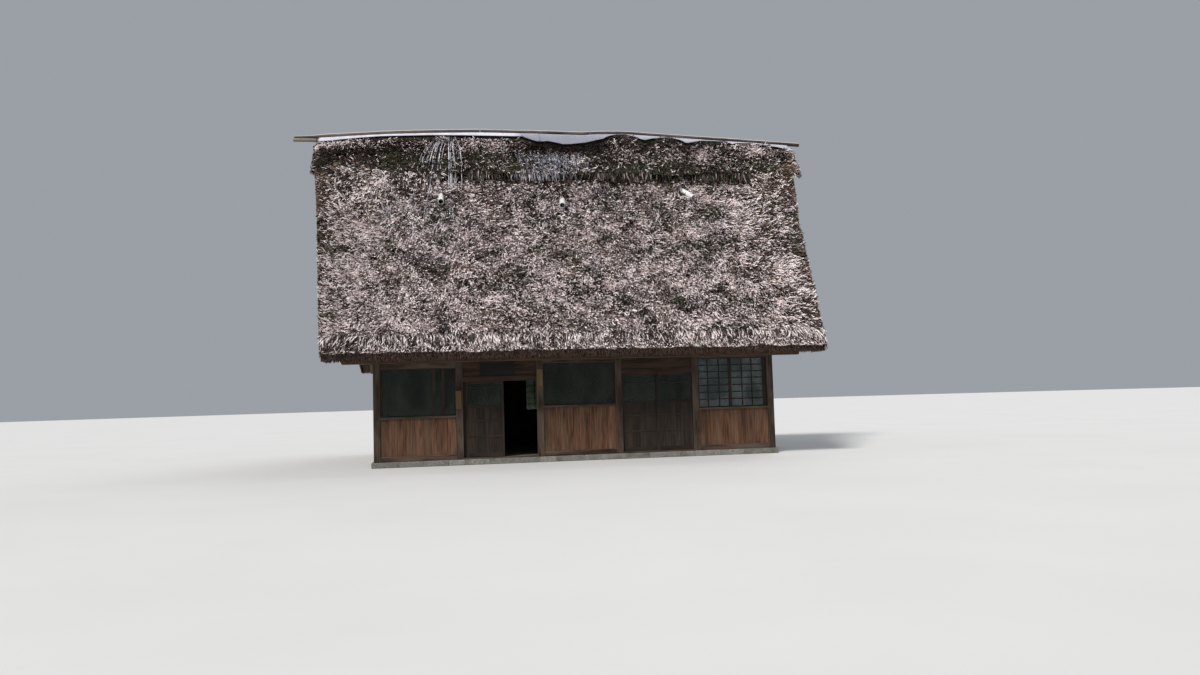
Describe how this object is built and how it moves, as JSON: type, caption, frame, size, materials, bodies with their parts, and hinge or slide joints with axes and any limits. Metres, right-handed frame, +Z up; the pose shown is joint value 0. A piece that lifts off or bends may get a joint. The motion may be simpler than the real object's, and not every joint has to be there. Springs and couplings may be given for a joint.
{
  "type": "minka farmhouse",
  "caption": "Timber farmhouse with a steep thatched gable roof, glazed front windows and sliding doors to one open room.",
  "frame": {"origin": "centre of the underside of the stone plinth, at ground level", "axes": "+X along the ridge to the right seen from the front, +Y from the front to the rear, +Z up"},
  "size_m": [13.63, 8.3266, 8.6645],
  "materials": {
    "straw": "matte",
    "old_straw": "matte",
    "post_wood": "matte",
    "board_wood": "matte",
    "beam_wood": "matte",
    "leaf_wood": "satin",
    "roof_wood": "matte",
    "pole_wood": "matte",
    "sheet_metal": "satin",
    "stone": "matte",
    "earth": "matte",
    "glass": "gloss",
    "black_board": "satin"
  },
  "bodies": {
    "root": {"stone_plinth": "stone", "floor": "earth", "front_wall_left": "post_wood", "front_wall_middle": "post_wood", "front_wall_right": "post_wood", "rear_wall": "post_wood", "left_wall": "post_wood", "right_wall": "post_wood", "door_head_left": "board_wood", "door_head_right": "board_wood", "left_gable": "board_wood", "right_gable": "board_wood", "front_window_left": "leaf_wood", "front_window_middle": "leaf_wood", "front_window_right": "leaf_wood", "door_threshold_left": "leaf_wood", "door_threshold_right": "leaf_wood", "front_eave_beam": "beam_wood", "rear_eave_beam": "beam_wood", "tie_beam_1": "roof_wood", "tie_beam_2": "roof_wood", "tie_beam_3": "roof_wood", "tie_beam_4": "roof_wood", "front_rafters": "roof_wood", "rear_rafters": "roof_wood", "front_thatch": "straw", "rear_thatch": "straw", "ridge_thatch": "old_straw", "ridge_sheet": "sheet_metal", "ridge_pole_left": "pole_wood", "ridge_pole_middle": "pole_wood", "ridge_pole_right": "pole_wood", "front_glass_left": "glass", "front_glass_middle": "glass", "front_glass_right": "glass", "rear_glass": "glass", "left_glass": "glass", "right_glass": "glass", "sign_board": "black_board"},
    "left_doorway_left_leaf": {"left_doorway_left_leaf": "leaf_wood", "left_doorway_left_leaf_glass": "glass"},
    "left_doorway_right_leaf": {"left_doorway_right_leaf": "leaf_wood", "left_doorway_right_leaf_glass": "glass"},
    "right_doorway_left_leaf": {"right_doorway_left_leaf": "leaf_wood", "right_doorway_left_leaf_glass": "glass"},
    "right_doorway_right_leaf": {"right_doorway_right_leaf": "leaf_wood", "right_doorway_right_leaf_glass": "glass"}
  },
  "joints": [
    {"name": "left_doorway_left_leaf_slide", "type": "slide", "parent": "root", "child": "left_doorway_left_leaf", "axis": [1, 0, 0], "range_m": [0, 0.81]},
    {"name": "left_doorway_right_leaf_slide", "type": "slide", "parent": "root", "child": "left_doorway_right_leaf", "axis": [1, 0, 0], "range_m": [-0.065, 0.745]},
    {"name": "right_doorway_left_leaf_slide", "type": "slide", "parent": "root", "child": "right_doorway_left_leaf", "axis": [1, 0, 0], "range_m": [0, 0.81]},
    {"name": "right_doorway_right_leaf_slide", "type": "slide", "parent": "root", "child": "right_doorway_right_leaf", "axis": [-1, 0, 0], "range_m": [0, 0.81]}
  ]
}
